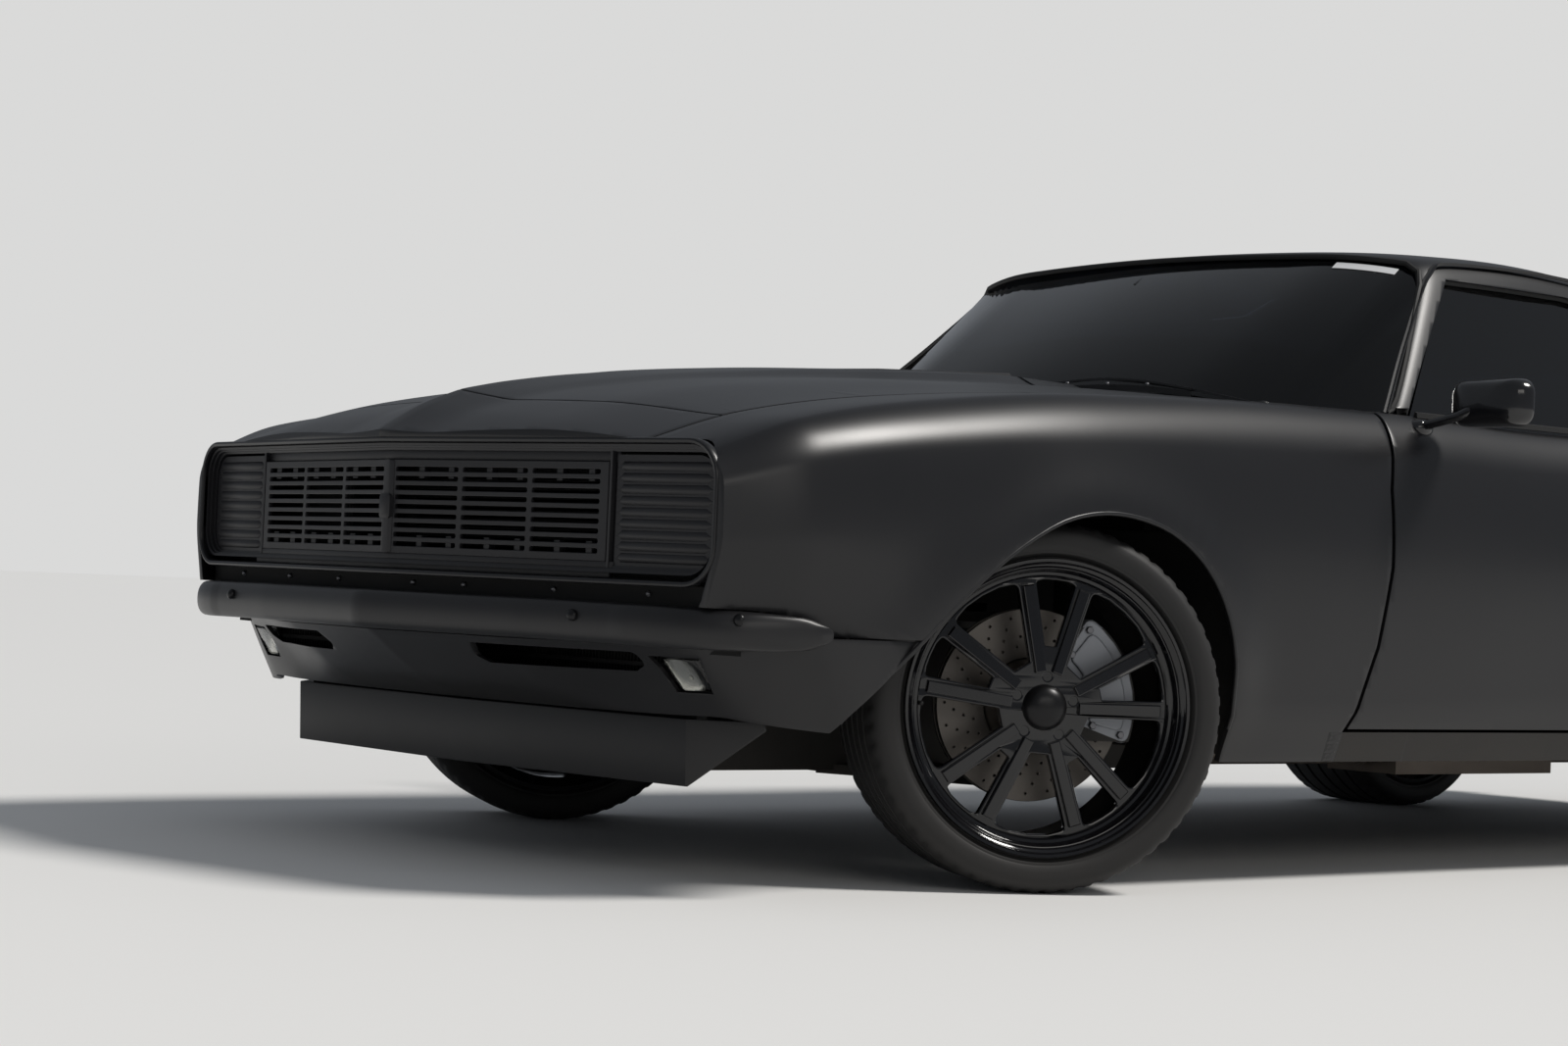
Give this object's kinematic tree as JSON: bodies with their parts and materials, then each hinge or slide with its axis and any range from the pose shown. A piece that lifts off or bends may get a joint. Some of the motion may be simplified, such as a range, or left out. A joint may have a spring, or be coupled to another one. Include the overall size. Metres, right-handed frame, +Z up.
{
  "type": "two-door muscle car",
  "caption": "Low two-door coupe with covered headlamps, a wide recessed grille, blade bumpers, a chin spoiler, paired-spoke wheels and opening doors, bonnet and boot.",
  "frame": {"origin": "on the ground at the middle of the car's length and width", "axes": "+X towards the nose, +Y to the car's left, +Z up"},
  "size_m": [4.691, 2.166, 1.275],
  "materials": {
    "body_paint": "satin black paint",
    "grille_black": "matt moulded plastic",
    "tyre": "black rubber",
    "wheel_gloss": "gloss black",
    "caliper": "satin silver-grey",
    "glass": "dark tinted",
    "underbody": "matt chassis black",
    "engine": "as cast",
    "radiator": "black fins",
    "exhaust": "dull steel",
    "seat_vinyl": "black vinyl",
    "dash_plastic": "grained",
    "lamp_lens": "clear moulded lens",
    "mirror_black": "gloss",
    "spoiler": "satin"
  },
  "bodies": {
    "bonnet": {"bonnet": "body_paint"},
    "boot_lid": {"boot_lid": "body_paint"},
    "body_shell": {"chin_spoiler": "spoiler", "dashboard": "dash_plastic", "engine": "engine", "exhaust": "exhaust", "fender_left": "body_paint", "fender_right": "body_paint", "fixed_glass": "glass", "floor_pan": "underbody", "front_bumper": "body_paint", "front_valance": "body_paint", "fuel_tank": "underbody", "grille": "grille_black", "grille_surround": "grille_black", "header_panel": "body_paint", "headlamp_covers": "grille_black", "lamps": "lamp_lens", "quarter_left": "body_paint", "quarter_right": "body_paint", "radiator": "radiator", "rear_axle": "underbody", "rear_bumper": "body_paint", "rear_shelf": "body_paint", "roof": "body_paint", "scuttle": "body_paint", "seats": "seat_vinyl", "sills": "body_paint", "subframe": "underbody", "tail_panel": "body_paint", "wheelhouses": "underbody"},
    "door_left": {"door_glass_left": "glass", "door_left": "body_paint", "door_mirror_left": "mirror_black"},
    "door_right": {"door_glass_right": "glass", "door_mirror_right": "mirror_black", "door_right": "body_paint"},
    "knuckle_left": {"knuckle_front_left": "caliper"},
    "knuckle_right": {"knuckle_front_right": "caliper"},
    "wheel_front_left": {"rim_front_left": "wheel_gloss", "tyre_front_left": "tyre"},
    "wheel_front_right": {"rim_front_right": "wheel_gloss", "tyre_front_right": "tyre"},
    "wheel_rear_left": {"rim_rear_left": "wheel_gloss", "tyre_rear_left": "tyre"},
    "wheel_rear_right": {"rim_rear_right": "wheel_gloss", "tyre_rear_right": "tyre"}
  },
  "joints": [
    {"name": "steer_left", "type": "hinge", "parent": "body_shell", "child": "knuckle_left", "pos_m": [1.3975, 0.7, 0.321], "axis": [0, 0, 1], "range_deg": [-8.6, 61.4]},
    {"name": "steer_right", "type": "hinge", "parent": "body_shell", "child": "knuckle_right", "pos_m": [1.3975, -0.7, 0.321], "axis": [0, 0, 1], "range_deg": [-8.6, 61.4]},
    {"name": "spin_front_left", "type": "hinge", "parent": "knuckle_left", "child": "wheel_front_left", "pos_m": [1.3975, 0.7, 0.321], "axis": [0.4446, 0.8957, 0], "continuous": true},
    {"name": "spin_front_right", "type": "hinge", "parent": "knuckle_right", "child": "wheel_front_right", "pos_m": [1.3975, -0.7, 0.321], "axis": [0.4446, 0.8957, 0], "continuous": true},
    {"name": "spin_rear_left", "type": "hinge", "parent": "body_shell", "child": "wheel_rear_left", "pos_m": [-1.3455, 0.736, 0.321], "axis": [0, 1, 0], "continuous": true},
    {"name": "spin_rear_right", "type": "hinge", "parent": "body_shell", "child": "wheel_rear_right", "pos_m": [-1.3455, -0.736, 0.321], "axis": [0, 1, 0], "continuous": true},
    {"name": "door_left_hinge", "type": "hinge", "parent": "body_shell", "child": "door_left", "pos_m": [0.5375, 0.884, 0.58], "axis": [0, 0, -1], "range_deg": [0, 65]},
    {"name": "door_right_hinge", "type": "hinge", "parent": "body_shell", "child": "door_right", "pos_m": [0.5375, -0.884, 0.58], "axis": [0, 0, 1], "range_deg": [0, 65]},
    {"name": "bonnet_hinge", "type": "hinge", "parent": "body_shell", "child": "bonnet", "pos_m": [0.8175, 0, 0.868], "axis": [0, -1, 0], "range_deg": [0, 50]},
    {"name": "boot_lid_hinge", "type": "hinge", "parent": "body_shell", "child": "boot_lid", "pos_m": [-1.5175, 0, 0.906], "axis": [0, 1, 0], "range_deg": [0, 68]}
  ],
  "couplings": [
    {"joint": "steer_right", "follows": "steer_left", "ratio": 1}
  ]
}
